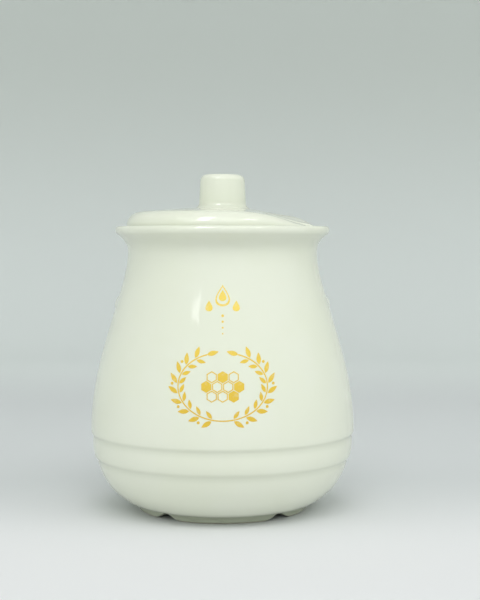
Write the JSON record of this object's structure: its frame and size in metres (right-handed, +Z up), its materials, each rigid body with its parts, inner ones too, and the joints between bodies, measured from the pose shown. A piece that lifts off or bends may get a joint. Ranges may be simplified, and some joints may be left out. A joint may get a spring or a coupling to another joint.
{
  "type": "honey jar",
  "caption": "Round-bellied glazed ceramic honey pot on a notched foot ring, with a flared rim and a low domed knob lid that has a dipper notch.",
  "frame": {"origin": "middle of the foot ring's underside, on the surface that the pot stands on", "axes": "+Z up along the pot's turning axis, -Y towards the decorated front, +X to the right as seen from the front"},
  "size_m": [0.1024, 0.1024, 0.13],
  "materials": {
    "pot_glaze": "glossy glaze, pale celadon white",
    "lid_glaze": "glossy glaze, pale celadon white"
  },
  "bodies": {
    "root": {"jar": "pot_glaze", "lid": "lid_glaze"}
  },
  "joints": []
}
